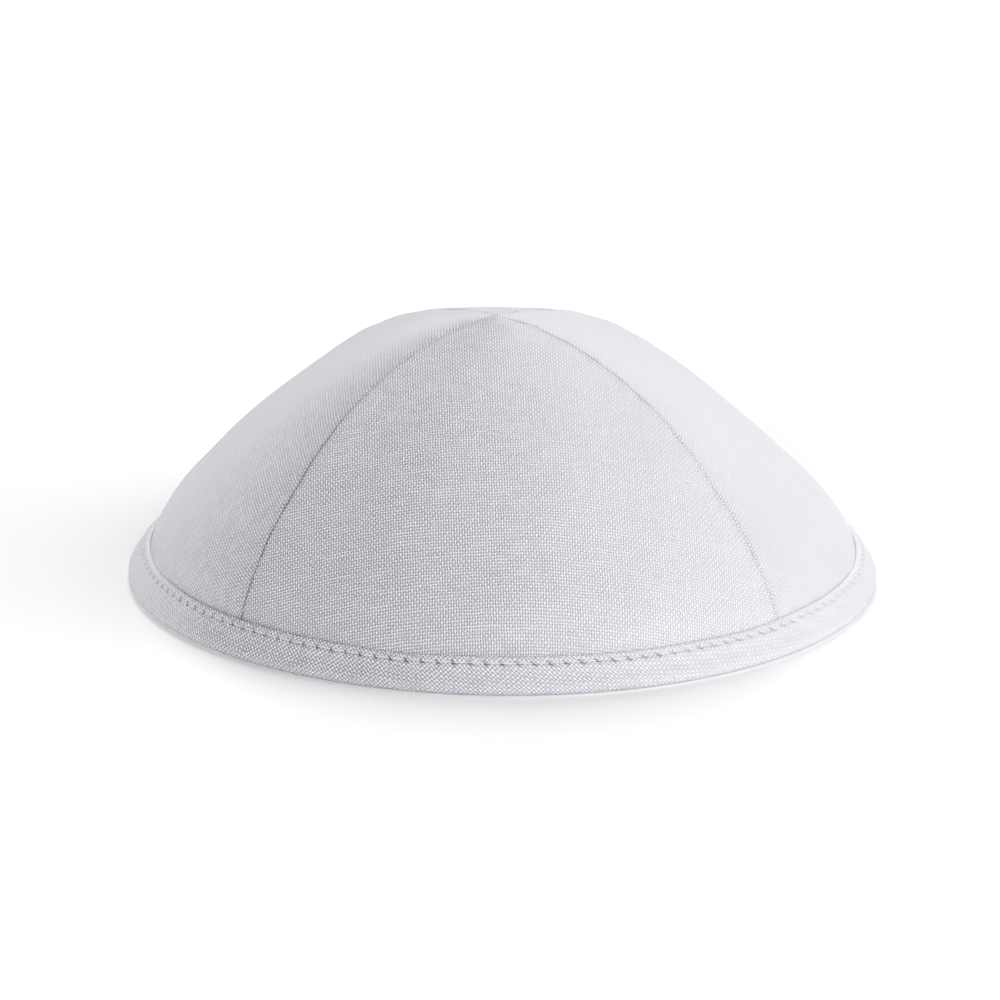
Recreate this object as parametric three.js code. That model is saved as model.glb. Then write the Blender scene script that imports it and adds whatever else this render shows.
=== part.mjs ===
// Four-panel cloth skullcap (kippah) with a folded binding round its rim.
// Millimetres, +Z up. The rim rests on z = 0 and the front panel faces -Y.
import * as THREE from 'three';
import { mergeVertices } from 'three/addons/utils/BufferGeometryUtils.js';

// Driving sizes of the cap.
const RIM_RADIUS = 85; // outside of the binding where it is widest
const CAP_HEIGHT = 60.5; // resting plane to the top of the crown
const PANEL_THICKNESS = 1.2; // sewn cloth with its seam allowances
const LEAF_THICKNESS = 1.0; // each leaf of the folded binding
const CLEARANCE = 0.3; // kept between any two pieces

// The four panels of the crown, each turned by quarters from the one that faces -Y.
const PANELS = [
  { name: 'crown_panel_front', quarter: 0 },
  { name: 'crown_panel_right', quarter: 1 },
  { name: 'crown_panel_back', quarter: 2 },
  { name: 'crown_panel_left', quarter: 3 },
];

// Outline of the crown's outer face above the binding. rise is a share of the crown's
// height; middle and seam are shares of its base radius, at a panel's middle and seams.
const CROWN_BASE_RADIUS = 79.9;
const CROWN_BASE_HEIGHT = 7.0;
const CROWN_OUTLINE = [
  { rise: 0.0, middle: 1.0, seam: 1.0 },
  { rise: 0.08, middle: 0.98, seam: 0.982 },
  { rise: 0.2, middle: 0.926, seam: 0.94 },
  { rise: 0.33, middle: 0.843, seam: 0.882 },
  { rise: 0.47, middle: 0.75, seam: 0.797 },
  { rise: 0.61, middle: 0.638, seam: 0.703 },
  { rise: 0.74, middle: 0.508, seam: 0.59 },
  { rise: 0.85, middle: 0.372, seam: 0.453 },
  { rise: 0.93, middle: 0.248, seam: 0.313 },
  { rise: 0.982, middle: 0.12, seam: 0.155 },
  { rise: 1.0, middle: 0.0, seam: 0.0 },
];

// The soft crown settles a little to one side: how far its top has moved.
const CROWN_LEAN = new THREE.Vector2(-1.5, -1.5);

// The binding leans inwards as it rises, and the panels' lower edges lean with it.
const BINDING_SLOPE = THREE.MathUtils.degToRad(58);
const PANEL_TUCK = 5.8; // length of panel hidden inside the folded binding

// Foot of the binding, from its inner side round to its widest place. inset is measured
// inwards from the rim's radius, height from the resting plane.
const BINDING_FOOT = [
  { inset: 3.9, height: 0.5 },
  { inset: 3.2, height: 0.0 },
  { inset: 1.4, height: 0.0 },
  { inset: 0.4, height: 0.4 },
  { inset: 0.0, height: 1.3 },
  { inset: 0.2, height: 2.2 },
];

// Rounded upper edge of a leaf, in shares of its thickness: across from the side that
// touches the panel, drop down from the leaf's top.
const LEAF_EDGE = [
  { across: 1.0, drop: 0.35 },
  { across: 0.75, drop: 0.05 },
  { across: 0.3, drop: 0.0 },
  { across: 0.0, drop: 0.3 },
];

// Fineness of the faceted cloth.
const PANEL_COLUMNS = 20;
const PANEL_ROWS = 17;
const RING_STEPS = PANELS.length * PANEL_COLUMNS;

const PANEL_HALF_TURN = Math.PI / PANELS.length;

// Outline curves with a radius as x and a height as y.
function outlineCurve(column) {
  const crownHeight = CAP_HEIGHT - CROWN_BASE_HEIGHT;
  return new THREE.SplineCurve(CROWN_OUTLINE.map((row) => new THREE.Vector2(
    row[column] * CROWN_BASE_RADIUS,
    CROWN_BASE_HEIGHT + row.rise * crownHeight,
  )));
}
const middleCurve = outlineCurve('middle');
const seamCurve = outlineCurve('seam');

// Share of the way from the middle radius to the seam radius at an angle from a panel's
// middle. It grows as it would along a flat side, so the crown is slightly square in plan.
function squareness(angle) {
  return (1 / Math.cos(angle) - 1) / (1 / Math.cos(PANEL_HALF_TURN) - 1);
}

// Outer face of a panel: along is -1 at the hidden lower edge, 0 at the base of the crown
// and 1 at its top.
function outerPoint(along, angle) {
  if (along < 0) {
    const tuck = -along * PANEL_TUCK;
    return new THREE.Vector2(
      CROWN_BASE_RADIUS + tuck * Math.cos(BINDING_SLOPE),
      CROWN_BASE_HEIGHT - tuck * Math.sin(BINDING_SLOPE),
    );
  }
  return middleCurve.getPoint(along).lerp(seamCurve.getPoint(along), squareness(angle));
}

// Inner face of a panel, one thickness inside the outer face.
function innerPoint(along, angle) {
  const step = 0.01;
  const climb = outerPoint(Math.min(along + step, 1), angle);
  climb.sub(outerPoint(Math.max(along - step, -1), angle)).normalize();
  const point = outerPoint(along, angle);
  point.x -= climb.y * PANEL_THICKNESS;
  point.y += climb.x * PANEL_THICKNESS;
  return point;
}

// One row of a panel's face, from its left seam to its right seam. The ends stay half a
// clearance away from the seam's plane.
function panelRow(facePoint, along) {
  const row = [];
  const seamAngle = PANEL_HALF_TURN - Math.asin(
    CLEARANCE / 2 / Math.max(facePoint(along, PANEL_HALF_TURN).x, CLEARANCE),
  );
  for (let column = 0; column <= PANEL_COLUMNS; column += 1) {
    const angle = seamAngle * (2 * column / PANEL_COLUMNS - 1);
    const { x: radius, y: height } = facePoint(along, angle);
    row.push(new THREE.Vector3(radius * Math.sin(angle), -radius * Math.cos(angle), height));
  }
  return row;
}

// Quarter of the crown facing -Y: a grid of outer points and a grid of inner points, with
// walls along the two seams and the lower edge, closing to a point at the top.
function panelGeometry() {
  const points = [];
  const faces = [];
  const ringSize = 2 * (PANEL_COLUMNS + 1);
  const alongs = [-1];
  for (let row = 0; row < PANEL_ROWS; row += 1) alongs.push(row / PANEL_ROWS);
  for (const along of alongs) {
    points.push(...panelRow(outerPoint, along), ...panelRow(innerPoint, along).reverse());
  }
  const quad = (a, b, c, d) => faces.push(a, b, c, a, c, d);
  for (let row = 0; row + 1 < alongs.length; row += 1) {
    for (let step = 0; step < ringSize; step += 1) {
      const next = (step + 1) % ringSize;
      const low = row * ringSize;
      const high = low + ringSize;
      quad(low + step, low + next, high + next, high + step);
    }
  }
  for (let column = 0; column < PANEL_COLUMNS; column += 1) {
    const opposite = ringSize - 1 - column;
    quad(column, opposite, opposite - 1, column + 1);
  }
  const tipRadius = CLEARANCE / 2 / Math.sin(PANEL_HALF_TURN);
  const lastRing = (alongs.length - 1) * ringSize;
  const outerTip = points.push(new THREE.Vector3(0, -tipRadius, CAP_HEIGHT)) - 1;
  const innerTip = points.push(
    new THREE.Vector3(0, -tipRadius, CAP_HEIGHT - PANEL_THICKNESS),
  ) - 1;
  for (let column = 0; column < PANEL_COLUMNS; column += 1) {
    const inner = lastRing + PANEL_COLUMNS + 1 + column;
    faces.push(lastRing + column, lastRing + column + 1, outerTip);
    faces.push(inner, inner + 1, innerTip);
  }
  quad(lastRing + PANEL_COLUMNS, lastRing + PANEL_COLUMNS + 1, innerTip, outerTip);
  quad(lastRing + ringSize - 1, lastRing, outerTip, innerTip);
  const geometry = new THREE.BufferGeometry().setFromPoints(points);
  geometry.setIndex(faces);
  geometry.computeVertexNormals();
  return geometry;
}

// Moves each point sideways, more the higher it is, so the crown leans as one.
function leanWithCrown(geometry) {
  const position = geometry.getAttribute('position');
  for (let index = 0; index < position.count; index += 1) {
    const climbed = Math.max(position.getZ(index) - CROWN_BASE_HEIGHT, 0);
    const share = (climbed / (CAP_HEIGHT - CROWN_BASE_HEIGHT)) ** 1.5;
    position.setX(index, position.getX(index) + share * CROWN_LEAN.x);
    position.setY(index, position.getY(index) + share * CROWN_LEAN.y);
  }
  geometry.computeVertexNormals();
}

// Point in the binding's section: out from the middle of the panel's thickness, and up
// the slope from the panel's lower edge.
function bindingPoint(out, up) {
  const lowerEdge = outerPoint(-1, 0);
  const along = new THREE.Vector2(-Math.cos(BINDING_SLOPE), Math.sin(BINDING_SLOPE));
  const outward = new THREE.Vector2(Math.sin(BINDING_SLOPE), Math.cos(BINDING_SLOPE));
  return lowerEdge
    .addScaledVector(along, up)
    .addScaledVector(outward, out - PANEL_THICKNESS / 2);
}

// Binding folded round the panels' lower edges: two leaves joined by a foot, turned once
// round the cap.
function bindingGeometry() {
  const facing = PANEL_THICKNESS / 2 + CLEARANCE;
  const leafEdge = LEAF_EDGE.map(({ across, drop }) => ({
    out: facing + across * LEAF_THICKNESS,
    up: PANEL_TUCK - drop * LEAF_THICKNESS,
  }));
  const section = [
    ...BINDING_FOOT.map(({ inset, height }) => new THREE.Vector2(RIM_RADIUS - inset, height)),
    ...leafEdge.map(({ out, up }) => bindingPoint(out, up)),
    bindingPoint(facing, -CLEARANCE),
    bindingPoint(-facing, -CLEARANCE),
    ...leafEdge.reverse().map(({ out, up }) => bindingPoint(-out, up)),
  ];
  section.push(section[0]);
  const turned = new THREE.LatheGeometry(section, RING_STEPS);
  turned.deleteAttribute('normal');
  turned.deleteAttribute('uv');
  const geometry = mergeVertices(turned, 0.001);
  geometry.rotateX(Math.PI / 2);
  geometry.computeVertexNormals();
  return geometry;
}

// White plain-weave cloth: the binding shows slightly greyer because it is cut on the bias.
const panelCloth = { color: 0xe4e2ea, roughness: 0.92, metalness: 0 };
const bindingCloth = { color: 0xdddbe3, roughness: 0.92, metalness: 0 };

const skullcap = new THREE.Group();
for (const { name, quarter } of PANELS) {
  const panel = new THREE.Mesh(panelGeometry(), new THREE.MeshStandardMaterial(panelCloth));
  panel.name = name;
  panel.geometry.rotateZ(quarter * Math.PI / 2);
  leanWithCrown(panel.geometry);
  skullcap.add(panel);
}
const binding = new THREE.Mesh(bindingGeometry(), new THREE.MeshStandardMaterial(bindingCloth));
binding.name = 'rim_band';
skullcap.add(binding);

export default skullcap;
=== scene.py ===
import math

import bpy
import numpy as np
from mathutils import Matrix, Vector


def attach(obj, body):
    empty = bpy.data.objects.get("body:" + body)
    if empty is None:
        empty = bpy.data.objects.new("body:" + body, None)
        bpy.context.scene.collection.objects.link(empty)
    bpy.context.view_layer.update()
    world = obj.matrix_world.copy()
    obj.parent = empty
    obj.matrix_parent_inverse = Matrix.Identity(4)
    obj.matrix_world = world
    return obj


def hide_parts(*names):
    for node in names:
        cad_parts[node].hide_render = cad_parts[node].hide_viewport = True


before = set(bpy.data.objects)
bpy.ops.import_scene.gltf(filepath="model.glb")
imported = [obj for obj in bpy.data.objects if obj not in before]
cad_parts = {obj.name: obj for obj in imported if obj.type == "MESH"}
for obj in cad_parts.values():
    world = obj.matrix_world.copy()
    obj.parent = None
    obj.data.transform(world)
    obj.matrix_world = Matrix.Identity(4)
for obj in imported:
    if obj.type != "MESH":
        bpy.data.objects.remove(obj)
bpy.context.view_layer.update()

MM = 0.001


# ---------------------------------------------------------------------------
# Cloth: one white plain weave with a linen look is used for the whole cap.
# Its warp is finer than its weft, and both yarns are uneven. Panels are cut
# with the warp up their middle; the binding is cut at 45 degrees to it.
# ---------------------------------------------------------------------------
WARP_PITCH = 0.555
WEFT_PITCH = 0.715
YARN_LOW = 0.34
YARN_ROUNDNESS = 0.7
CROSSING_SHARPNESS = 1.2
YARN_RELIEF = 0.28
YARN_WANDER = 0.75
WANDER_SCALE = 300.0
WEFT_WANDER_SHIFT = (0.37, 0.71, 0.0)
SLUB_SCALE = 0.13
DRIFT_SCALE = 38.0
# Strides through the noise that give every warp and weft yarn slubs of its own.
WARP_STRIDE = 7.31
WEFT_STRIDE = 5.17
WEFT_LAYER = 9.0
TENSION_SCALE = 120.0
FIBRE_SCALE = 5200.0
FIBRE_RELIEF = 0.10
# Each pair turns a noise of 0 to 1 into a gain: how much it adds, and what is there without it.
WARP_UNEVENNESS = (1.1, 0.45)
WEFT_UNEVENNESS = (0.9, 0.53)
WARP_TENSION = (0.5, 0.77)
WEFT_TENSION = (-0.35, 1.12)
CLOTH_DRIFT = (0.06, 0.97)
CLOTH_ROUGHNESS = (0.12, 0.82)
YARN_COLOUR = (0.89, 0.885, 0.93, 1.0)
GAP_COLOUR = (0.43, 0.425, 0.47, 1.0)
GAP_HEIGHT = 0.22
TOP_HEIGHT = 0.95
MEAN_TONE = 0.52
MEAN_PALENESS = 0.61


class NodeBench:
    """Adds nodes to one tree, with its sums written as short calls."""

    def __init__(self, tree):
        self.nodes = tree.nodes
        self.links = tree.links
        self.nodes.clear()

    def add(self, kind, **settings):
        node = self.nodes.new(kind)
        for name, value in settings.items():
            setattr(node, name, value)
        return node

    def feed(self, socket, value):
        if isinstance(value, bpy.types.NodeSocket):
            self.links.new(value, socket)
        else:
            socket.default_value = value

    def sum(self, operation, *values):
        node = self.add("ShaderNodeMath", operation=operation)
        for socket, value in zip(node.inputs, values):
            self.feed(socket, value)
        return node.outputs[0]

    def place(self, x, y, z=0.0):
        node = self.add("ShaderNodeCombineXYZ")
        for socket, value in zip(node.inputs, (x, y, z)):
            self.feed(socket, value)
        return node.outputs[0]

    def blend(self, share, first, second):
        node = self.add("ShaderNodeMix", data_type="RGBA")
        self.feed(node.inputs[0], share)
        self.feed(node.inputs[6], first)
        self.feed(node.inputs[7], second)
        return node.outputs[2]

    def noise(self, place, scale, detail=2.0, roughness=0.5):
        node = self.add("ShaderNodeTexNoise")
        self.feed(node.inputs["Vector"], place)
        node.inputs["Scale"].default_value = scale
        node.inputs["Detail"].default_value = detail
        node.inputs["Roughness"].default_value = roughness
        return node.outputs["Fac"]

    def kept_value(self, name):
        return self.add("ShaderNodeAttribute", attribute_name=name).outputs["Fac"]

    def bump(self, height, distance, strength=1.0):
        node = self.add("ShaderNodeBump")
        node.inputs["Strength"].default_value = strength
        node.inputs["Distance"].default_value = distance
        self.feed(node.inputs["Height"], height)
        return node.outputs[0]

    def surface(self, look):
        """The finish's one shader, its own sockets set from the look, wired to the output."""
        shader = self.add("ShaderNodeBsdfPrincipled")
        for label, value in look.items():
            self.feed(shader.inputs[label], value)
        self.feed(self.add("ShaderNodeOutputMaterial").inputs["Surface"], shader.outputs[0])


def new_finish(name):
    """A bare material, and the bench on which its nodes are made."""
    material = bpy.data.materials.new(name)
    material.use_nodes = True
    return material, NodeBench(material.node_tree)


def woven_cloth(name, warp_high, weft_high):
    """Plain weave laid out on the piece's cutting pattern, kept as its UV map in metres."""
    material, w = new_finish(name)
    pattern = w.add("ShaderNodeUVMap", uv_map="cutting_pattern").outputs[0]
    body = w.add("ShaderNodeTexCoord").outputs["Object"]

    # Yarns wander a little, so their rows are never ruled straight.
    def wander(place):
        return w.sum("MULTIPLY", w.sum("SUBTRACT", w.noise(place, WANDER_SCALE), 0.5), YARN_WANDER)

    shifted = w.add("ShaderNodeVectorMath", operation="ADD")
    w.feed(shifted.inputs[0], pattern)
    w.feed(shifted.inputs[1], WEFT_WANDER_SHIFT)
    split = w.add("ShaderNodeSeparateXYZ")
    w.feed(split.inputs[0], pattern)
    across = w.sum("ADD", w.sum("DIVIDE", split.outputs[0], WARP_PITCH * MM), wander(pattern))
    along = w.sum("ADD", w.sum("DIVIDE", split.outputs[1], WEFT_PITCH * MM), wander(shifted.outputs[0]))
    end = w.sum("FLOOR", across)
    pick = w.sum("FLOOR", along)

    # Each yarn is round across its width and rises and sinks along its length.
    def yarn(position, number, crossing, high):
        turn = w.sum("MULTIPLY", w.sum("SUBTRACT", position, number), math.pi)
        roundness = w.sum("POWER", w.sum("SINE", turn), YARN_ROUNDNESS)
        phase = w.sum("ADD", w.sum("MULTIPLY", crossing, math.pi), w.sum("MULTIPLY", number, math.pi))
        swing = w.sum("POWER", w.sum("MULTIPLY_ADD", w.sum("SINE", phase), 0.499, 0.5), CROSSING_SHARPNESS)
        return w.sum("MULTIPLY", roundness, w.sum("MULTIPLY_ADD", swing, high - YARN_LOW, YARN_LOW))

    def varied(height, noise, more, least):
        return w.sum("MULTIPLY", height, w.sum("MULTIPLY_ADD", noise, more, least))

    # Uneven spinning: every yarn has its own thickness, changing slowly along it.
    warp_slubs = w.place(w.sum("MULTIPLY", end, WARP_STRIDE), w.sum("MULTIPLY", along, SLUB_SCALE))
    weft_slubs = w.place(w.sum("MULTIPLY", across, SLUB_SCALE), w.sum("MULTIPLY", pick, WEFT_STRIDE),
                         WEFT_LAYER)
    warp = yarn(across, end, along, warp_high)
    weft = yarn(along, pick, w.sum("ADD", across, 1.0), weft_high)
    warp = varied(warp, w.noise(warp_slubs, 1.0, 1.0), *WARP_UNEVENNESS)
    weft = varied(weft, w.noise(weft_slubs, 1.0, 1.0), *WEFT_UNEVENNESS)
    # Here and there the tension shifts, and one set of yarns stands above the other.
    tension = w.noise(pattern, TENSION_SCALE)
    cloth = w.sum("MAXIMUM", varied(warp, tension, *WARP_TENSION), varied(weft, tension, *WEFT_TENSION))

    depth = w.kept_value("weave_depth")
    fibres = w.noise(pattern, FIBRE_SCALE, 2.0, 0.6)
    height = w.sum("MULTIPLY_ADD", fibres, FIBRE_RELIEF, w.sum("MULTIPLY", cloth, depth))

    # Yarn tops are palest; the gaps are painted darker, as painted shade of the cloth below.
    tone = w.add("ShaderNodeMapRange")
    w.feed(tone.inputs["Value"], cloth)
    w.feed(tone.inputs["From Min"], GAP_HEIGHT)
    w.feed(tone.inputs["From Max"], TOP_HEIGHT)
    paleness = w.sum("MULTIPLY_ADD", w.sum("SUBTRACT", tone.outputs[0], MEAN_TONE), depth, MEAN_PALENESS)
    shaded = w.add("ShaderNodeHueSaturation")
    w.feed(shaded.inputs["Color"], w.blend(paleness, GAP_COLOUR, YARN_COLOUR))
    # The painted shading kept on the mesh (shade in seams and needle holes, light by the binding) sets the
    # value, with a random drift of tone on top.
    drift = w.noise(body, DRIFT_SCALE, 3.0)
    w.feed(shaded.inputs["Value"], varied(w.kept_value("painted_shading"), drift, *CLOTH_DRIFT))

    w.surface({"Base Color": shaded.outputs[0],
               "Roughness": w.sum("MULTIPLY_ADD", fibres, *CLOTH_ROUGHNESS),
               "Specular IOR Level": 0.25,
               "Sheen Weight": 0.12,
               "Sheen Roughness": 0.5,
               "Normal": w.bump(height, YARN_RELIEF * MM)})
    return material


# ---------------------------------------------------------------------------
# Crown: four panels sewn right sides together along curved edges and turned.
# Each edge rolls down into its seam, and the seam allowances are pressed
# towards the two side panels, where they raise the cloth beside the seam.
# ---------------------------------------------------------------------------
CAP_HEIGHT = 60.5
PANEL_THICKNESS = 1.2
CROWN_BASE_RADIUS = 79.9
CROWN_BASE_HEIGHT = 7.0
BINDING_SLOPE = math.radians(58)
PANEL_TUCK = 5.8
CROWN_LEAN = (-1.5, -1.5)
RIGHT_SPREAD = 0.8
SPREAD_HEIGHT = 6.0
SPREAD_REACH = 8.0
RIGHT_SINK = 0.9
SINK_HEIGHT = 34.0
SINK_REACH = 13.0
SEAM_ROLL = 0.34
SEAM_VALLEY = 0.05
SEAM_VALLEY_WIDTH = 1.8
SEAM_LINE_WIDTH = 0.16
SEAM_CRISPNESS = 0.45
ROOMY_WIDTH = 6.0
ALLOWANCE_WIDTH = 6.5
ALLOWANCE_RIDGE = 0.16
ALLOWANCE_THICKNESS = 0.35
PUCKER_LENGTH = 2.7
PUCKER_DRIFT = 19.0
PUCKER_SMALL = 0.02
PUCKER_LARGE = 0.09
PUCKER_LARGE_LENGTH = 12.0
BROAD_SWELL = 0.22
BROAD_LENGTHS = (46.0, 38.0)
# Painted light that lifts the crown's cloth where it meets the binding, and the binding's folded top edge.
EDGE_PAINTED_LIGHT = 0.10
ROW_SPACING = 0.75
MIDDLE_COLUMNS = 84
SLOPE_STEP = 0.004
TIP_RADIUS = 0.07

# How plainly the weave stands out, by degrees turned from the front towards the right; this colour contrast
# is painted light, faint where light falls full on the right and strongest where it grazes the front.
CRISP_AT = (-180, -90, -75, -60, -45, -20, 0, 25, 46, 60, 90, 135, 180)
CRISP_SHARE = (0.60, 0.15, 0.40, 1.05, 1.75, 1.80, 1.35, 0.75, 0.50, 0.18, 0.08, 0.4, 0.60)
# The two ridges over a pressed allowance: distance from the seam, width, share of the height.
RIDGES = ((3.0, 1.7, 1.0), (1.0, 0.6, 0.7))
# Rise is a share of the crown's height; middle and seam are shares of the base radius.
#        rise  middle seam
OUTLINE = np.array([
    (0.000, 1.000, 1.000),
    (0.080, 0.980, 0.982),
    (0.200, 0.926, 0.940),
    (0.330, 0.843, 0.882),
    (0.470, 0.750, 0.797),
    (0.610, 0.638, 0.703),
    (0.740, 0.508, 0.590),
    (0.850, 0.372, 0.453),
    (0.930, 0.248, 0.313),
    (0.982, 0.120, 0.155),
    (1.000, 0.000, 0.000),
])
# Distances from the seam of the close columns that form its rolled edge.
SEAM_COLUMNS = np.array([0.0, 0.03, 0.08, 0.15, 0.24, 0.34, 0.46, 0.62, 0.85, 1.15, 1.55,
                         2.05, 2.65, 3.35, 4.2, 5.1, 6.0, 7.0, 8.0])

# Seams are in degrees turned from the front towards the right; at each, how far it gapes and how dark its
# painted shade lies, low down and near the top.
PANELS = [
    {"name": "crown_panel_front", "cloth": "front", "seams": (-45.5, 46.5), "gaps": (0.12, 0.03),
     "dims": ((0.45, 0.02), (0.0, 0.18)), "ridge": 0.35, "seed": 3},
    {"name": "crown_panel_right", "cloth": "side", "seams": (46.5, 135.0), "gaps": (0.03, 0.10),
     "dims": ((0.0, 0.18), (0.2, 0.2)), "ridge": 1.0, "seed": 5},
    {"name": "crown_panel_back", "cloth": "front", "seams": (135.0, 225.0), "gaps": (0.10, 0.10),
     "dims": ((0.2, 0.2), (0.2, 0.3)), "ridge": 0.35, "seed": 8},
    {"name": "crown_panel_left", "cloth": "side", "seams": (225.0, 314.5), "gaps": (0.10, 0.12),
     "dims": ((0.2, 0.3), (0.45, 0.02)), "ridge": 1.0, "seed": 13},
]


def bulge(distance, width):
    """One on a line, fading smoothly to nothing over about twice the width."""
    return np.exp(-(distance / width) ** 2)


def smooth_random(seed, position, wavelength, waves=5):
    """Gentle random undulation between about -1 and 1, the same on every run."""
    draw = np.random.default_rng(seed)
    total = np.zeros_like(position)
    for _ in range(waves):
        total += np.sin(2 * np.pi * position / (wavelength * draw.uniform(0.6, 1.6)) + draw.uniform(0, 6.28))
    return total / math.sqrt(waves)


def degrees_round(azimuth):
    """Degrees from -180 to 180, nought at the front."""
    return np.degrees((azimuth + math.pi) % (2 * math.pi) - math.pi)


def crispness(azimuth):
    """How plainly the weave stands out: most just left of the front, least on the right side."""
    return np.interp(degrees_round(azimuth), CRISP_AT, CRISP_SHARE)


def outline_at(along):
    """Height and the two radii of the outline at shares of the way up the crown."""
    place = np.clip(along, 0.0, 1.0) * (len(OUTLINE) - 1)
    low = np.minimum(place.astype(int), len(OUTLINE) - 2)
    t = (place - low)[..., None]
    p0 = OUTLINE[np.maximum(low - 1, 0)]
    p1 = OUTLINE[low]
    p2 = OUTLINE[low + 1]
    p3 = OUTLINE[np.minimum(low + 2, len(OUTLINE) - 1)]
    v0 = (p2 - p0) / 2
    v1 = (p3 - p1) / 2
    row = (2 * p1 - 2 * p2 + v0 + v1) * t**3 + (-3 * p1 + 3 * p2 - 2 * v0 - v1) * t**2 + v0 * t + p1
    height = CROWN_BASE_HEIGHT + row[..., 0] * (CAP_HEIGHT - CROWN_BASE_HEIGHT)
    return height, row[..., 1] * CROWN_BASE_RADIUS, row[..., 2] * CROWN_BASE_RADIUS


def squareness(angle):
    """Nought at a panel's middle and one at its seams, as the sides of a square stand out."""
    return (1 / np.cos(angle) - 1) / (math.sqrt(2) - 1)


def crown_point(along, angle):
    """Radius and height on the crown's outer face; along runs from -1, inside the binding."""
    height, middle, seam = outline_at(along)
    tuck = np.maximum(-along, 0.0) * PANEL_TUCK
    radius = middle + (seam - middle) * squareness(angle) + tuck * math.cos(BINDING_SLOPE)
    return radius, height - tuck * math.sin(BINDING_SLOPE) + 0 * angle


def settle(points):
    """The soft cap leans a little as it rises, and its right side spreads low down and sinks above."""
    climbed = np.clip((points[:, 2] - CROWN_BASE_HEIGHT) / (CAP_HEIGHT - CROWN_BASE_HEIGHT), 0, 1)
    reach = np.hypot(points[:, 0], points[:, 1]) + 1e-6
    to_right = np.maximum(points[:, 0] / reach, 0) ** 2
    spread = RIGHT_SPREAD * to_right * bulge(points[:, 2] - SPREAD_HEIGHT, SPREAD_REACH)
    spread -= RIGHT_SINK * to_right * bulge(points[:, 2] - SINK_HEIGHT, SINK_REACH)
    points[:, :2] *= (1 + spread / np.maximum(reach, 20))[:, None]
    points[:, 0] += CROWN_LEAN[0] * climbed**1.5
    points[:, 1] += CROWN_LEAN[1] * climbed**1.5
    return points


def panel_rows():
    """Shares of the way up the crown that lie about one row spacing apart on the cloth."""
    fine = np.linspace(0, 1, 2001)
    radius, height = crown_point(fine, 0 * fine)
    length = np.concatenate([[0], np.cumsum(np.hypot(np.diff(radius), np.diff(height)))])
    rows = int(length[-1] / ROW_SPACING)
    above = np.interp(np.linspace(0, length[-1], rows + 1)[:-1], length, fine)
    return np.concatenate([np.linspace(-1, 0, 7)[:-1], above])


def panel_columns(rows, gaps):
    """On each row: places across the panel, their angles, the way to the seam, and the room there."""
    _, _, seam_radius = outline_at(rows)
    seam_radius = (seam_radius + np.maximum(-rows, 0) * PANEL_TUCK * math.cos(BINDING_SLOPE))[:, None]
    half_width = seam_radius * math.pi / 4
    close = SEAM_COLUMNS[None, :] * np.minimum(1, half_width / (2 * SEAM_COLUMNS[-1]))
    middle = np.linspace(-1, 1, MIDDLE_COLUMNS)[None, :] * (half_width - close[:, -1:])
    left = -half_width + close[:, :-1]
    across = np.concatenate([left, middle, -left[:, ::-1]], axis=1)
    gap = np.where(across < 0, gaps[0], gaps[1]) / 2
    across = across * (1 - np.minimum(gap, 0.3 * half_width) / half_width)
    from_seam = np.maximum(half_width - np.abs(across) - gap, 0)
    return across, across / seam_radius, from_seam, np.clip(half_width / ROOMY_WIDTH, 0, 1)


def seam_dimness(rows, across, dims):
    """How dark the nearer seam lies, changing from its low value to its high one up the crown."""
    high_up = np.clip((rows - 0.5) / 0.25, 0, 1)[:, None]
    left, right = (low + (high - low) * high_up for low, high in dims)
    return np.where(across < 0, left, right)


def cutting_pattern(radius, height, angle, opening):
    """Length of cloth from the top of the crown, and each place on the panel laid flat."""
    pieces = np.hypot(np.diff(radius, axis=0), np.diff(height, axis=0))
    last = np.hypot(radius[-1], CAP_HEIGHT - height[-1])
    from_top = np.concatenate([np.cumsum(pieces[::-1], axis=0)[::-1], np.zeros((1, angle.shape[1]))])
    from_top = from_top + last[None, :]
    fan = angle * opening * radius / from_top
    return from_top, np.stack([from_top * np.sin(fan), -from_top * np.cos(fan)], axis=-1)


def flat_area(pattern):
    """Area of the pattern, cell by cell from the two diagonals."""
    one = pattern[:-1, :-1] - pattern[1:, 1:]
    other = pattern[:-1, 1:] - pattern[1:, :-1]
    return abs(np.sum(one[..., 0] * other[..., 1] - other[..., 0] * one[..., 1])) / 2


def panel_relief(rows, across, from_seam, room, from_top, dim, ridge, seed):
    """Rolled and puckered edges, pressed allowances and the broad unevenness of soft cloth."""
    on_edge = np.minimum(from_seam, SEAM_ROLL)
    roll = np.sqrt(np.maximum(SEAM_ROLL**2 - (SEAM_ROLL - on_edge) ** 2, 0)) - SEAM_ROLL
    relief = roll * (0.4 + 0.6 * room) * (0.45 + 1.2 * dim)
    relief -= SEAM_VALLEY * bulge(from_seam, SEAM_VALLEY_WIDTH) * room
    for away, width, share in RIDGES:
        relief += ridge * ALLOWANCE_RIDGE * share * room * bulge(from_seam - away, width)

    up_seam = from_top[0][None, :] - from_top
    for which, here in enumerate((across < 0, across >= 0)):
        drift = smooth_random(seed * 7 + which, up_seam, PUCKER_DRIFT)
        small = np.sin(2 * np.pi * up_seam / PUCKER_LENGTH + 1.3 * drift)
        large = smooth_random(seed * 11 + which, up_seam, PUCKER_LARGE_LENGTH)
        pucker = PUCKER_SMALL * small * bulge(from_seam, 1.5) + PUCKER_LARGE * large * bulge(from_seam, 6.0)
        relief += np.where(here, pucker * room, 0)

    held = np.clip(rows / 0.15, 0, 1)[:, None] * np.clip(from_top / 25.0, 0, 1)
    broad = smooth_random(seed, across + 0.3 * from_top, BROAD_LENGTHS[0], 3)
    broad += smooth_random(seed + 1, from_top - 0.4 * across, BROAD_LENGTHS[1], 3)
    relief += BROAD_SWELL * broad * held * np.clip(from_seam / 12.0, 0, 1)
    return np.where(rows[:, None] < 0, np.minimum(relief, 0), relief)


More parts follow.
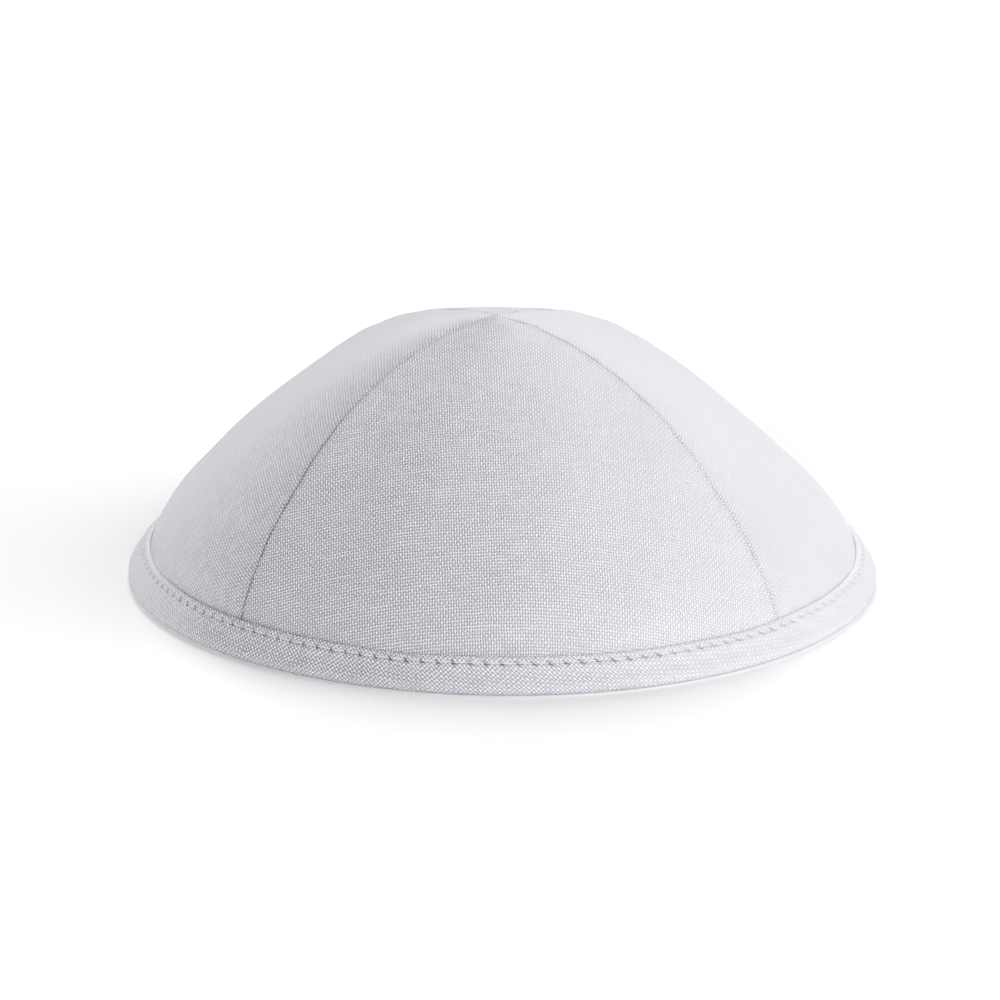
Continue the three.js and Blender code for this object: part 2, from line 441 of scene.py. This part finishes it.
def panel_faces(rows, columns):
    """A closed panel: outer and inner skins, the edges between them, and a small tip at the top."""
    base = rows * columns
    grid = np.arange(base).reshape(rows, columns)
    low_left, low_right = grid[:-1, :-1].ravel(), grid[:-1, 1:].ravel()
    high_left, high_right = grid[1:, :-1].ravel(), grid[1:, 1:].ravel()
    faces = [np.stack([low_left, low_right, high_right, high_left], 1),
             np.stack([high_left, high_right, low_right, low_left], 1) + base]
    edges = ((grid[:-1, 0], grid[1:, 0]), (grid[1:, -1], grid[:-1, -1]), (grid[0, 1:], grid[0, :-1]))
    for first, second in edges:
        faces.append(np.stack([first, second, second + base, first + base], 1))
    faces = np.concatenate(faces).tolist()
    outer_tip, inner_tip = 2 * base, 2 * base + 1
    top = grid[-1].tolist()
    for first, second in zip(top[:-1], top[1:]):
        faces.append([first, second, outer_tip])
        faces.append([second + base, first + base, inner_tip])
    faces.append([top[-1], top[-1] + base, inner_tip, outer_tip])
    faces.append([top[0] + base, top[0], outer_tip, inner_tip])
    return faces


def panel_mesh(seams, gaps, dims, ridge, seed):
    """The panel's points, faces and kept values, then its flat size and cut area."""
    rows = panel_rows()
    across, angle, from_seam, room = panel_columns(rows, gaps)
    along = np.broadcast_to(rows[:, None], angle.shape)
    radius, height = crown_point(along, angle)
    r_low, h_low = crown_point(np.maximum(along - SLOPE_STEP, -1), angle)
    r_high, h_high = crown_point(np.minimum(along + SLOPE_STEP, 1), angle)
    rise = np.hypot(r_high - r_low, h_high - h_low)
    out_r = (h_high - h_low) / rise
    out_h = -(r_high - r_low) / rise

    middle_way = math.radians((seams[0] + seams[1]) / 2)
    opening = math.radians(seams[1] - seams[0]) / (math.pi / 2)
    azimuth = middle_way + angle * opening
    from_top, pattern = cutting_pattern(radius, height, angle, opening)
    dim = seam_dimness(rows, across, dims)
    relief = panel_relief(rows, across, from_seam, room, from_top, dim, ridge, seed)

    # Inside, the seam allowances double the cloth as far as their cut edge.
    doubled = 1 / (1 + np.exp((from_seam - ALLOWANCE_WIDTH) / 0.25))
    inside = -PANEL_THICKNESS - ALLOWANCE_THICKNESS * doubled * room * (rows[:, None] > 0.02)
    inside += 0.3 * bulge(from_seam, 0.3) * room

    def face(relief_by):
        r = np.maximum(radius + out_r * relief_by, 0.02)
        h = height + out_h * relief_by
        return np.stack([r * np.sin(azimuth), -r * np.cos(azimuth), h], axis=-1).reshape(-1, 3)

    tip_x, tip_y = TIP_RADIUS * math.sin(middle_way), -TIP_RADIUS * math.cos(middle_way)
    tips = np.array([[tip_x, tip_y, CAP_HEIGHT - 0.1], [tip_x, tip_y, CAP_HEIGHT - PANEL_THICKNESS]])
    points = settle(np.concatenate([face(relief), face(inside), tips])) * MM
    flat = np.concatenate([pattern.reshape(-1, 2), pattern.reshape(-1, 2), np.zeros((2, 2))]) * MM

    # The seam line is painted in shade, and the cloth that meets the binding is painted a little paler, as
    # painted light.
    shade = 1 - dim * bulge(from_seam, SEAM_LINE_WIDTH) * (0.2 + 0.8 * room)
    shade = shade * (1 + EDGE_PAINTED_LIGHT * bulge(np.maximum(rows, 0), 0.02))[:, None]
    shade = np.concatenate([shade.ravel(), np.ones(shade.size), [1.0, 1.0]])
    # The weave shows a little more plainly low down, and beside the seams; round the crown its contrast is
    # painted light, set by crispness.
    depth = crispness(azimuth) * np.clip(1.15 - 0.4 * rows, 0.8, 1.15)[:, None]
    depth = depth + SEAM_CRISPNESS * bulge(from_seam, 1.1) * room
    depth = np.concatenate([depth.ravel(), depth.ravel(), [0.8, 0.8]])

    size = (np.ptp(pattern[..., 0]) * MM, np.ptp(pattern[..., 1]) * MM)
    return (points, panel_faces(*angle.shape), flat, shade, depth), size, flat_area(pattern) * MM * MM


def cloth_piece(name, points, faces, flat, shade, depth, material):
    """A named object with smooth faces and its cutting pattern as a UV map."""
    mesh = bpy.data.meshes.new(name)
    mesh.from_pydata(points.tolist(), [], faces)
    mesh.polygons.foreach_set("use_smooth", [True] * len(mesh.polygons))
    layer = mesh.uv_layers.new(name="cutting_pattern")
    if len(flat) == len(points):
        corner = np.empty(len(mesh.loops), dtype=np.int32)
        mesh.loops.foreach_get("vertex_index", corner)
        flat = flat[corner]
    layer.data.foreach_set("uv", flat.ravel())
    # The painted shade and light, and the weave's depth, are kept on the mesh for the finish.
    for label, values in (("painted_shading", shade), ("weave_depth", depth)):
        mesh.attributes.new(label, "FLOAT", "POINT").data.foreach_set("value", values.astype(np.float32))
    mesh.materials.append(material)
    mesh.validate()
    mesh.update()
    piece = bpy.data.objects.new(name, mesh)
    bpy.context.scene.collection.objects.link(piece)
    return piece


# On the front and back panels the warp stands higher; on the side panels the weft does, in relief and in
# paint: the paler weft there is painted light, for light raking across it.
panel_cloth = {"front": woven_cloth("panel_cloth", 1.0, 0.62),
               "side": woven_cloth("side_panel_cloth", 0.62, 1.0)}
for panel in PANELS:
    skin, size, area = panel_mesh(panel["seams"], panel["gaps"], panel["dims"], panel["ridge"], panel["seed"])
    piece = cloth_piece(panel["name"] + "_cloth", *skin, panel_cloth[panel["cloth"]])
    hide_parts(panel["name"])
    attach(piece, "root")


# ---------------------------------------------------------------------------
# Rim band: a strip of the same cloth cut on the bias, folded over the raw
# lower edges of the crown and sewn through both leaves near its upper edge.
# The stitching pulls it in, so small dimples run along the line.
# ---------------------------------------------------------------------------
RIM_RADIUS = 85.0
LEAF_THICKNESS = 1.0
CLEARANCE = 0.3
TOPSTITCH_DROP = 1.55
STITCH_COUNT = 152
MIDDLE_RADIUS = 81.8
BIAS_STRETCH = 1.10
# Painted shade in the needle holes, for the shadow inside them.
HOLE_SHADE = 0.42
DENT_LENGTH = 0.78
DENT_WIDTH = 0.28
DENT_SLANT = 0.55
THREAD_GROOVE = 0.10
THREAD_GROOVE_WIDTH = 0.34
PUFF_WIDTH = 0.55
DRAG_FOLDS = 0.09
JOIN_GROOVE = 0.32
# Spacing of the section's points: by the stitching, over the folds above it, on the foot, elsewhere.
STITCH_SPACING = 0.2
FOLD_SPACING = 0.34
FOOT_SPACING = 0.5
PLAIN_SPACING = 0.85
# The cloth puffs up above and below the line: least height, more between holes, place off the line.
PUFFS = ((0.04, 0.17, 1.0), (0.03, 0.16, -0.85))
# How hard the stitching pulls, by degrees turned from the front towards the right.
TIGHT_AT = (-180, -90, -45, 0, 25, 60, 90, 180)
TIGHT_SHARE = (0.8, 0.9, 1.1, 1.25, 0.85, 0.45, 0.4, 0.8)
# Rise and fall of the upper edge: height, number of waves around the cap, start.
EDGE_WAVES = ((0.10, 7, 0.8), (0.08, 12, 2.1), (0.05, 19, 4.0))
# Distances along the band from each needle hole at which the ring has a section.
HOLE_STEPS = (-1.05, -0.72, -0.5, -0.33, -0.17, 0.0, 0.17, 0.33, 0.5, 0.72, 1.05, 1.69)
# The soft foot, from inside to outside: (in from the rim, up from the table).
FOOT = ((3.9, 0.5), (3.55, 0.14), (3.0, 0.0), (2.3, 0.0), (1.6, 0.0), (0.95, 0.1), (0.4, 0.42),
        (0.08, 0.95), (0.0, 1.55), (0.2, 2.3))
# The outer leaf lies against the crown at its upper fold: (out from the crown's middle, up from its edge).
OUTER_FOLD = ((1.82, 4.1), (1.66, 4.8), (1.48, 5.3), (1.26, 5.64), (0.96, 5.80), (0.76, 5.80), (0.62, 5.62),
              (0.62, 5.2), (0.76, 4.2), (0.90, 2.8), (0.90, 1.0))
# The inner leaf's upper fold: (share of the leaf's thickness, down from the top of the tuck).
INNER_FOLD = ((0.0, 0.42), (0.08, 0.16), (0.3, 0.02), (0.6, 0.0), (0.88, 0.14), (1.0, 0.42))

LOWER_EDGE = np.array([CROWN_BASE_RADIUS + PANEL_TUCK * math.cos(BINDING_SLOPE),
                       CROWN_BASE_HEIGHT - PANEL_TUCK * math.sin(BINDING_SLOPE)])
UP_SLOPE = np.array([-math.cos(BINDING_SLOPE), math.sin(BINDING_SLOPE)])
OUT_SLOPE = np.array([math.sin(BINDING_SLOPE), math.cos(BINDING_SLOPE)])
FACING = PANEL_THICKNESS / 2 + CLEARANCE
LEAF_FACE = FACING + LEAF_THICKNESS
STITCH_UP = PANEL_TUCK - TOPSTITCH_DROP
BAND_LENGTH = 2 * math.pi * MIDDLE_RADIUS
STITCH_PITCH = BAND_LENGTH / STITCH_COUNT


def binding_point(out, up):
    return LOWER_EDGE + UP_SLOPE * up + OUT_SLOPE * (out - PANEL_THICKNESS / 2)


def on_slope(section):
    """How far points of a section stand out from the crown's middle and up from its edge."""
    return (section - LOWER_EDGE) @ OUT_SLOPE + PANEL_THICKNESS / 2, (section - LOWER_EDGE) @ UP_SLOPE


def section_outline():
    """The folded strip's section as one close smooth curve through its shaping points."""
    shaping = [np.array([RIM_RADIUS - inset, height]) for inset, height in FOOT]
    shaping += [binding_point(LEAF_FACE + 0.06, up) for up in (1.4, 2.6, 3.4)]
    shaping += [binding_point(out, up) for out, up in OUTER_FOLD]
    shaping += [binding_point(FACING - 0.1, -0.15), binding_point(0, -CLEARANCE)]
    shaping += [binding_point(-FACING + 0.1, -0.15)]
    shaping += [binding_point(-FACING, up) for up in (1.0, 2.5, 4.0)]
    shaping += [binding_point(-FACING - out * LEAF_THICKNESS, PANEL_TUCK - drop) for out, drop in INNER_FOLD]
    shaping += [binding_point(-LEAF_FACE, up) for up in (4.7, 3.8, 2.6, 1.4, 0.5)]
    curve = []
    for k in range(len(shaping)):
        p0, p1, p2, p3 = (shaping[(k + j - 1) % len(shaping)] for j in range(4))
        for t in np.linspace(0, 1, 16, endpoint=False):
            curve.append(0.5 * (2 * p1 + (p2 - p0) * t + (2 * p0 - 5 * p1 + 4 * p2 - p3) * t * t
                                + (3 * p1 - p0 - 3 * p2 + p3) * t**3))
    return np.array(curve + curve[:1])


def band_section():
    """Points round the section, closest where the stitching dents it, and their places along it."""
    closed = section_outline()
    length = np.concatenate([[0], np.cumsum(np.hypot(*np.diff(closed, axis=0).T))])
    out, up = on_slope(closed)
    spacing = np.where(up > STITCH_UP, FOLD_SPACING, PLAIN_SPACING)
    spacing = np.where((out > FACING + 0.1) & (np.abs(up - STITCH_UP) < 0.75), STITCH_SPACING, spacing)
    spacing = np.where((closed[:, 1] < 1.2) & (closed[:, 0] > 81), FOOT_SPACING, spacing)
    crowding = np.concatenate([[0], np.cumsum(np.diff(length) * 2 / (spacing[1:] + spacing[:-1]))])
    at = np.interp(np.linspace(0, crowding[-1], int(crowding[-1]), endpoint=False), crowding, length)
    section = np.stack([np.interp(at, length, closed[:, 0]), np.interp(at, length, closed[:, 1])], 1)
    return section, at, length[-1]


def band_wave(turn):
    """Rise and fall of the band's upper edge around the cap."""
    return sum(height * np.sin(count * turn + start) for height, count, start in EDGE_WAVES)


def tightness(azimuth):
    """How hard the stitching pulls: tightest at the front, slackest at the right."""
    return np.interp(degrees_round(azimuth), TIGHT_AT, TIGHT_SHARE)


def band_relief(out, up, around, to_hole, hole_number, pull):
    """How far the stitched cloth stands above or below its plain section, and its painted shade and painted
    light.
    """
    line = up - STITCH_UP
    slant = np.where(out > 0, DENT_SLANT, -DENT_SLANT)
    ahead = to_hole * np.cos(slant) - line * np.sin(slant)
    aside = to_hole * np.sin(slant) + line * np.cos(slant)
    dent = np.exp(-((ahead / DENT_LENGTH) ** 4 + (aside / DENT_WIDTH) ** 2))
    # No two holes are pulled in equally deep.
    dent_depth = 0.64 + 0.12 * np.sin(hole_number * 2.3) + 0.08 * np.sin(hole_number * 5.1)
    swell = 0.5 - 0.5 * np.cos(2 * np.pi * np.clip(np.abs(to_hole) / STITCH_PITCH, 0, 0.5) * 2)
    relief = -dent_depth * dent - THREAD_GROOVE * bulge(line, THREAD_GROOVE_WIDTH)
    for least, more, off_line in PUFFS:
        relief = relief + (least + more * swell) * bulge(line - off_line, PUFF_WIDTH)
    drag = DRAG_FOLDS * smooth_random(41, around + 1.1 * up, 8.0, 6) * bulge(up - 2.2, 2.4)
    shown = np.clip((np.abs(out) - FACING) / (LEAF_THICKNESS * 0.6), 0, 1)
    # The needle holes get painted shade, and the folded top edge gets painted light.
    painted_light = EDGE_PAINTED_LIGHT * bulge(up - PANEL_TUCK + 0.2, 0.5)
    return (pull * relief + drag) * shown, (1 - HOLE_SHADE * pull * dent * shown) * (1 + painted_light)


def band_mesh():
    """Rings of the section all round the cap, joined to one closed skin, with their kept values."""
    section, at, girth = band_section()
    count = len(section)
    ahead = np.roll(section, -1, 0) - np.roll(section, 1, 0)
    ahead /= np.hypot(*ahead.T)[:, None]
    outward = np.stack([ahead[:, 1], -ahead[:, 0]], 1)
    out, up = on_slope(section)

    to_hole = np.tile(HOLE_STEPS, STITCH_COUNT)
    hole_number = np.repeat(np.arange(STITCH_COUNT), len(HOLE_STEPS))
    around = (hole_number + 0.5) * STITCH_PITCH + to_hole
    turn = math.pi + around / MIDDLE_RADIUS
    relief, shade = band_relief(out[None, :], up[None, :], around[:, None], to_hole[:, None],
                                hole_number[:, None], tightness(turn)[:, None])
    # The strip's two ends meet at the back in a shallow groove, and the foot stays flat.
    to_join = np.minimum(around, BAND_LENGTH - around)[:, None]
    relief = relief - JOIN_GROOVE * bulge(to_join, 0.4) * (np.abs(out) > FACING + 0.3)[None, :]
    relief = relief * np.clip((section[:, 1] - 0.25) / 0.8, 0, 1)[None, :]
    radius = section[None, :, 0] + outward[None, :, 0] * relief
    height = section[None, :, 1] + outward[None, :, 1] * relief
    height = height + band_wave(turn)[:, None] * np.clip(up / PANEL_TUCK, 0, 1)[None, :]
    across, forward = radius * np.sin(turn)[:, None], -radius * np.cos(turn)[:, None]
    points = settle(np.stack([across, forward, height], -1).reshape(-1, 3)) * MM

    steps = len(turn)
    grid = np.arange(steps * count).reshape(steps, count)
    next_ring = np.roll(grid, -1, 0)
    faces = np.stack([grid, next_ring, np.roll(next_ring, -1, 1), np.roll(grid, -1, 1)], -1).reshape(-1, 4)

    # The strip's pattern is turned by 45 degrees, as it is cut on the bias.
    run = np.concatenate([around, [around[0] + BAND_LENGTH]])
    rise = np.concatenate([at, [girth]])
    corner_run = np.stack([run[:-1], run[1:], run[1:], run[:-1]], -1)[:, None, :] + np.zeros((1, count, 1))
    corner_rise = np.stack([rise[:-1], rise[:-1], rise[1:], rise[1:]], -1)[None, :, :]
    corner_rise = corner_rise + np.zeros((steps, 1, 1))
    turned = np.stack([corner_run + corner_rise, corner_rise - corner_run], -1) / math.sqrt(2)
    flat = turned.reshape(-1, 2) / BIAS_STRETCH * MM
    # The binding's weave contrast by side is painted light, as on the crown.
    depth = 1.05 * np.repeat(crispness(turn) ** 1.2, count)
    return points, faces.tolist(), flat, shade.ravel(), depth


band = cloth_piece("rim_band_cloth", *band_mesh(), woven_cloth("binding_cloth", 1.0, 0.7))
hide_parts("rim_band")
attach(band, "root")


# ---------------------------------------------------------------------------
# Topstitching: one line of white sewing thread through both leaves of the
# band. Each stitch lies in the groove it has pulled and dives into a needle
# hole at each end; the bobbin thread shows the same way on the inside.
# ---------------------------------------------------------------------------
THREAD_COLOUR = (0.76, 0.755, 0.795, 1.0)
THREAD_SHADE = tuple(0.86 * part for part in THREAD_COLOUR[:3]) + (1.0,)
TWIST_SCALE = 3500.0
THREAD_SUNK = 0.15
STITCH_SIZES = {"Stitch Length": STITCH_PITCH * 0.84, "Thread Radius": 0.17, "Bow": 0.02, "Dive": 0.36}
STITCH_WAVER = 0.05
HANDLE_SHARE = 0.72


def thread_finish(name):
    material, w = new_finish(name)
    twist = w.noise(w.add("ShaderNodeTexCoord").outputs["Object"], TWIST_SCALE, 1.0)
    w.surface({"Base Color": w.blend(twist, THREAD_SHADE, THREAD_COLOUR),
               "Roughness": 0.6,
               "Sheen Weight": 0.1,
               "Normal": w.bump(twist, 0.05 * MM, 0.6)})
    return material


def stitch_tree():
    """Places one bowed stitch on each point, along the seam and facing out of the cloth."""
    tree = bpy.data.node_groups.new("sewn_stitches", "GeometryNodeTree")
    face = tree.interface
    face.new_socket("Places", in_out="INPUT", socket_type="NodeSocketGeometry")
    for label, value in STITCH_SIZES.items():
        face.new_socket(label, in_out="INPUT", socket_type="NodeSocketFloat").default_value = value * MM
    face.new_socket("Waver", in_out="INPUT", socket_type="NodeSocketFloat").default_value = STITCH_WAVER
    face.new_socket("Seed", in_out="INPUT", socket_type="NodeSocketInt").default_value = 7
    face.new_socket("Thread", in_out="INPUT", socket_type="NodeSocketMaterial")
    face.new_socket("Stitches", in_out="OUTPUT", socket_type="NodeSocketGeometry")
    t = NodeBench(tree)
    given = t.add("NodeGroupInput").outputs

    def direction_kept(label):
        node = t.add("GeometryNodeInputNamedAttribute", data_type="FLOAT_VECTOR")
        node.inputs["Name"].default_value = label
        return node.outputs["Attribute"]

    half = t.sum("MULTIPLY", given["Stitch Length"], 0.5)
    back = t.sum("MULTIPLY", half, -1.0)
    down = t.sum("MULTIPLY", given["Dive"], -1.0)
    bow = t.add("GeometryNodeCurvePrimitiveBezierSegment", mode="POSITION")
    bow.inputs["Resolution"].default_value = 7
    t.feed(bow.inputs["Start"], t.place(back, 0.0, down))
    t.feed(bow.inputs["Start Handle"], t.place(t.sum("MULTIPLY", back, HANDLE_SHARE), 0.0, given["Bow"]))
    t.feed(bow.inputs["End Handle"], t.place(t.sum("MULTIPLY", half, HANDLE_SHARE), 0.0, given["Bow"]))
    t.feed(bow.inputs["End"], t.place(half, 0.0, down))
    thread_ring = t.add("GeometryNodeCurvePrimitiveCircle")
    thread_ring.inputs["Resolution"].default_value = 6
    t.feed(thread_ring.inputs["Radius"], given["Thread Radius"])
    tube = t.add("GeometryNodeCurveToMesh")
    tube.inputs["Fill Caps"].default_value = True
    t.feed(tube.inputs["Curve"], bow.outputs[0])
    t.feed(tube.inputs["Profile Curve"], thread_ring.outputs[0])
    smooth = t.add("GeometryNodeSetShadeSmooth")
    t.feed(smooth.inputs["Geometry"], tube.outputs[0])

    # Each stitch lies along the seam, stands its bow out of the cloth, and wavers a little.
    lie = t.add("FunctionNodeAlignRotationToVector", axis="X")
    t.feed(lie.inputs["Vector"], direction_kept("lies_along"))
    rise = t.add("FunctionNodeAlignRotationToVector", axis="Z", pivot_axis="X")
    t.feed(rise.inputs["Rotation"], lie.outputs[0])
    t.feed(rise.inputs["Vector"], direction_kept("faces_out"))
    waver = t.add("FunctionNodeRandomValue", data_type="FLOAT")
    t.feed(waver.inputs[2], t.sum("MULTIPLY", given["Waver"], -1.0))
    t.feed(waver.inputs[3], given["Waver"])
    t.feed(waver.inputs["Seed"], given["Seed"])
    swing = t.add("FunctionNodeAxisAngleToRotation")
    swing.inputs["Axis"].default_value = (0.0, 0.0, 1.0)
    t.feed(swing.inputs["Angle"], waver.outputs[1])
    turned = t.add("FunctionNodeRotateRotation", rotation_space="LOCAL")
    t.feed(turned.inputs[0], rise.outputs[0])
    t.feed(turned.inputs[1], swing.outputs[0])
    sow = t.add("GeometryNodeInstanceOnPoints")
    t.feed(sow.inputs["Points"], given["Places"])
    t.feed(sow.inputs["Instance"], smooth.outputs[0])
    t.feed(sow.inputs["Rotation"], turned.outputs[0])
    real = t.add("GeometryNodeRealizeInstances")
    t.feed(real.inputs[0], sow.outputs[0])
    dye = t.add("GeometryNodeSetMaterial")
    t.feed(dye.inputs["Geometry"], real.outputs[0])
    t.feed(dye.inputs["Material"], given["Thread"])
    t.feed(t.add("NodeGroupOutput").inputs[0], dye.outputs[0])
    return tree


def on_band(out_side, turn):
    """Places, directions and normals for stitches on the band's outer or inner face."""
    spot = binding_point(out_side * (LEAF_FACE - THREAD_SUNK), STITCH_UP)
    height = spot[1] + band_wave(turn) * STITCH_UP / PANEL_TUCK
    places = settle(np.stack([spot[0] * np.sin(turn), -spot[0] * np.cos(turn), height], 1))
    along = np.stack([np.cos(turn), np.sin(turn), 0 * turn], 1)
    normal = OUT_SLOPE * out_side
    outward = np.stack([normal[0] * np.sin(turn), -normal[0] * np.cos(turn), 0 * turn + normal[1]], 1)
    return places, along, outward


def sewn_row(name, places, along, outward, seed):
    """Runs the stitch tree over a row of points and keeps the result as a plain mesh."""
    carrier_mesh = bpy.data.meshes.new(name + "_places")
    carrier_mesh.from_pydata((places * MM).tolist(), [], [])
    for label, value in (("lies_along", along), ("faces_out", outward)):
        layer = carrier_mesh.attributes.new(label, "FLOAT_VECTOR", "POINT")
        layer.data.foreach_set("vector", value.astype(np.float32).ravel())
    carrier = bpy.data.objects.new(name + "_places", carrier_mesh)
    bpy.context.scene.collection.objects.link(carrier)
    modifier = carrier.modifiers.new("stitches", "NODES")
    modifier.node_group = stitches
    inputs = [item for item in stitches.interface.items_tree if item.item_type == "SOCKET"]
    socket = {item.name: item.identifier for item in inputs}
    for label, value in STITCH_SIZES.items():
        modifier[socket[label]] = value * MM
    modifier[socket["Waver"]] = STITCH_WAVER
    modifier[socket["Seed"]] = seed
    modifier[socket["Thread"]] = sewing_thread
    graph = bpy.context.evaluated_depsgraph_get()
    mesh = bpy.data.meshes.new_from_object(carrier.evaluated_get(graph))
    mesh.name = name
    bpy.data.objects.remove(carrier, do_unlink=True)
    sewn = bpy.data.objects.new(name, mesh)
    bpy.context.scene.collection.objects.link(sewn)
    return sewn


stitches = stitch_tree()
sewing_thread = thread_finish("sewing_thread")
stitch_turns = math.pi + (np.arange(STITCH_COUNT) + 1.0) * 2 * np.pi / STITCH_COUNT
for name, side, seed in (("topstitching", 1, 11), ("bobbin_stitching", -1, 12)):
    sewn = sewn_row(name, *on_band(side, stitch_turns), seed)
    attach(sewn, "root")


# ---------------------------------------------------------------------------
# Studio: a plain pale table under broad soft lights from the right, from low
# in front and from behind, with a little from the left and from all round,
# and the camera a little above.
# ---------------------------------------------------------------------------
TABLE_HALF = 6.0
TABLE_COLOUR = (0.96, 0.96, 0.96, 1.0)
TABLE_GLOW = 0.05
WHITE = (1.0, 1.0, 1.0, 1.0)
SKY_LIGHT = 0.08
LAMP_DISTANCE = 1.5
# Each lamp: degrees from the front towards the right, degrees up, width in degrees, strength.
LAMPS = {"key_light": (80, 27, 50, 0.58),
         "front_light": (-13, 18, 60, 0.82),
         "left_light": (-130, 25, 60, 0.08),
         "rear_light": (180, 40, 26, 0.60)}
VIEW_TARGET = Vector((0.0, 0.0, 0.030))
VIEW_DISTANCE = 0.850
VIEW_ELEVATION = math.radians(16.4)
VIEW_AZIMUTH = math.radians(-1.3)
VIEW_DROP = math.radians(0.87)
VIEW_ASIDE = math.radians(-0.03)
VIEW_ROLL = math.radians(0.5)
VIEW_LENS = 134.8


def direction(azimuth, elevation):
    """Unit vector from the cap, the azimuth turned from the front towards the right."""
    return Vector((math.sin(azimuth) * math.cos(elevation), -math.cos(azimuth) * math.cos(elevation),
                   math.sin(elevation)))


table_mesh = bpy.data.meshes.new("table")
corners = [(x * TABLE_HALF, y * TABLE_HALF, 0) for x, y in ((-1, -1), (1, -1), (1, 1), (-1, 1))]
table_mesh.from_pydata(corners, [], [(0, 1, 2, 3)])
table = bpy.data.objects.new("table", table_mesh)
bpy.context.scene.collection.objects.link(table)
table_finish, bench = new_finish("pale_table")
bench.surface({"Base Color": TABLE_COLOUR,
               "Roughness": 0.9,
               "Specular IOR Level": 0.1,
               "Emission Color": WHITE,
               "Emission Strength": TABLE_GLOW})
table_mesh.materials.append(table_finish)

for name, (azimuth, elevation, width, strength) in LAMPS.items():
    lamp = bpy.data.lights.new(name, "SUN")
    lamp.angle = math.radians(width)
    lamp.energy = strength * math.pi
    light = bpy.data.objects.new(name, lamp)
    towards = direction(math.radians(azimuth), math.radians(elevation))
    light.rotation_euler = towards.to_track_quat("Z", "Y").to_euler()
    light.location = towards * LAMP_DISTANCE
    bpy.context.scene.collection.objects.link(light)

world = bpy.data.worlds.new("studio")
world.use_nodes = True
sky = NodeBench(world.node_tree)
seen = sky.add("ShaderNodeLightPath").outputs["Is Camera Ray"]
backdrop = sky.add("ShaderNodeBackground")
backdrop.inputs["Color"].default_value = WHITE
sky.feed(backdrop.inputs["Strength"], sky.sum("MULTIPLY_ADD", seen, 1.0 - SKY_LIGHT, SKY_LIGHT))
sky.feed(sky.add("ShaderNodeOutputWorld").inputs["Surface"], backdrop.outputs[0])
bpy.context.scene.world = world

lens = bpy.data.cameras.new("camera")
lens.lens = VIEW_LENS
lens.sensor_width = 36.0
camera = bpy.data.objects.new("camera", lens)
camera.location = VIEW_TARGET + direction(VIEW_AZIMUTH, VIEW_ELEVATION) * VIEW_DISTANCE
look = -direction(VIEW_AZIMUTH - VIEW_ASIDE, VIEW_ELEVATION + VIEW_DROP)
roll = Matrix.Rotation(VIEW_ROLL, 3, "Z").to_quaternion()
camera.rotation_euler = (look.to_track_quat("-Z", "Y") @ roll).to_euler()
bpy.context.scene.collection.objects.link(camera)
bpy.context.scene.camera = camera
bpy.context.scene.view_settings.view_transform = "Standard"
